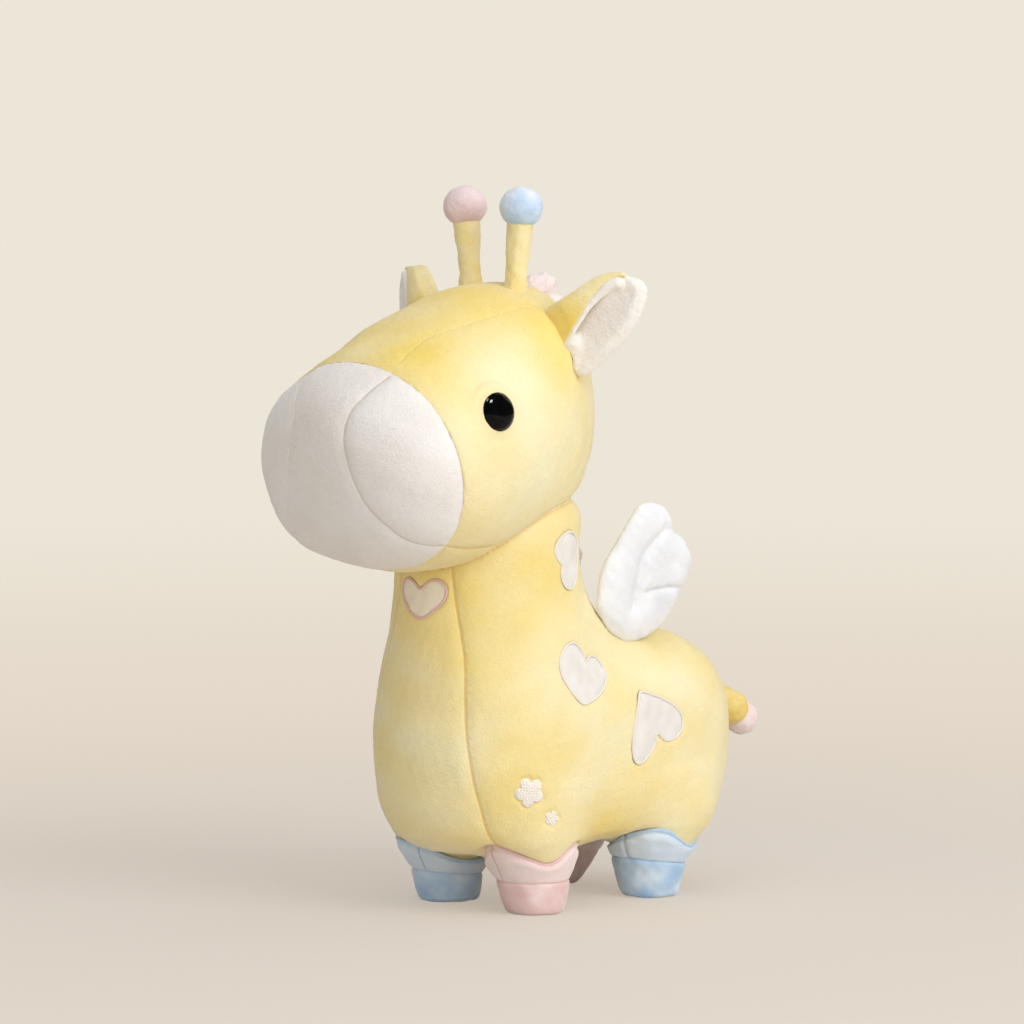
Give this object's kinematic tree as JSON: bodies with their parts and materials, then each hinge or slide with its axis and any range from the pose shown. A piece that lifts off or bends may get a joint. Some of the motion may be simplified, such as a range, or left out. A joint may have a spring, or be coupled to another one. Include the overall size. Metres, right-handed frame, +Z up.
{
  "type": "plush giraffe",
  "caption": "Stuffed giraffe with padded wings, stalked horns, leaf ears, a scalloped mane, a tufted tail and wavy-cuffed hooves.",
  "frame": {"origin": "on the floor, midway between the four hooves", "axes": "+Z up, the toy faces -Y, +X is the toy's left side"},
  "size_m": [0.1468, 0.2634, 0.3045],
  "materials": {
    "yellow_plush": "matte",
    "cream_plush": "matte",
    "pink_plush": "matte",
    "pale_pink_plush": "matte",
    "blue_plush": "matte",
    "white_plush": "matte",
    "patch_cloth": "satin",
    "fibre": "matte",
    "eye_plastic": "gloss",
    "washer_plastic": "matte"
  },
  "bodies": {
    "trunk": {"body_stuffing": "fibre", "chest_cover": "yellow_plush", "cuff_front_left": "pink_plush", "cuff_front_right": "blue_plush", "cuff_hind_left": "blue_plush", "cuff_hind_right": "pink_plush", "eye_left": "eye_plastic", "eye_right": "eye_plastic", "eye_washer_left": "washer_plastic", "eye_washer_right": "washer_plastic", "flower_large_left": "patch_cloth", "flower_large_right": "patch_cloth", "flower_small_left": "patch_cloth", "flower_small_right": "patch_cloth", "head_cover": "yellow_plush", "head_mane": "pale_pink_plush", "head_stuffing": "fibre", "heart_flank_left": "patch_cloth", "heart_flank_right": "patch_cloth", "heart_neck_left": "patch_cloth", "heart_neck_right": "patch_cloth", "heart_shoulder_left": "patch_cloth", "heart_shoulder_right": "patch_cloth", "heart_throat": "patch_cloth", "hindquarters_cover": "yellow_plush", "hoof_front_left": "pink_plush", "hoof_front_right": "blue_plush", "hoof_hind_left": "blue_plush", "hoof_hind_right": "pink_plush", "leg_front_left": "yellow_plush", "leg_front_right": "yellow_plush", "leg_hind_left": "yellow_plush", "leg_hind_right": "yellow_plush", "muzzle_cover": "cream_plush", "neck_mane": "pale_pink_plush", "sole_front_left": "pink_plush", "sole_front_right": "blue_plush", "sole_hind_left": "blue_plush", "sole_hind_right": "pink_plush"},
    "left_wing": {"wing_left": "white_plush"},
    "right_wing": {"wing_right": "white_plush"},
    "left_ear": {"ear_left": "yellow_plush", "ear_lining_left": "cream_plush"},
    "right_ear": {"ear_right": "yellow_plush", "ear_lining_right": "cream_plush"},
    "left_horn": {"horn_left": "yellow_plush", "horn_ball_left": "blue_plush"},
    "right_horn": {"horn_right": "yellow_plush", "horn_ball_right": "pink_plush"},
    "tail": {"tail": "yellow_plush", "tail_tuft": "pale_pink_plush"}
  },
  "joints": [
    {"name": "left_wing_flex", "type": "hinge", "parent": "trunk", "child": "left_wing", "pos_m": [0.03, 0.02, 0.10986], "axis": [0, 1, 0], "range_deg": [-4, 25], "stiffness_Nm_per_rad": 0.06},
    {"name": "right_wing_flex", "type": "hinge", "parent": "trunk", "child": "right_wing", "pos_m": [-0.03, 0.02, 0.10986], "axis": [0, 1, 0], "range_deg": [-25, 4], "stiffness_Nm_per_rad": 0.06},
    {"name": "left_ear_flex", "type": "hinge", "parent": "trunk", "child": "left_ear", "pos_m": [0.03922, -0.0306, 0.24124], "axis": [-0.5435, -0.0832, 0.8353], "range_deg": [-12, 12], "stiffness_Nm_per_rad": 0.04},
    {"name": "right_ear_flex", "type": "hinge", "parent": "trunk", "child": "right_ear", "pos_m": [-0.03922, -0.0306, 0.24124], "axis": [0.5435, -0.0832, 0.8353], "range_deg": [-12, 12], "stiffness_Nm_per_rad": 0.04},
    {"name": "left_horn_sway", "type": "hinge", "parent": "trunk", "child": "left_horn", "pos_m": [0.01346, -0.03288, 0.26194], "axis": [1, 0, 0], "range_deg": [-15, 15], "stiffness_Nm_per_rad": 0.05},
    {"name": "right_horn_sway", "type": "hinge", "parent": "trunk", "child": "right_horn", "pos_m": [-0.01346, -0.03288, 0.26194], "axis": [1, 0, 0], "range_deg": [-15, 15], "stiffness_Nm_per_rad": 0.05},
    {"name": "tail_wag", "type": "hinge", "parent": "trunk", "child": "tail", "pos_m": [0, 0.089, 0.08242], "axis": [0, 0, 1], "range_deg": [-25, 25], "stiffness_Nm_per_rad": 0.05}
  ]
}
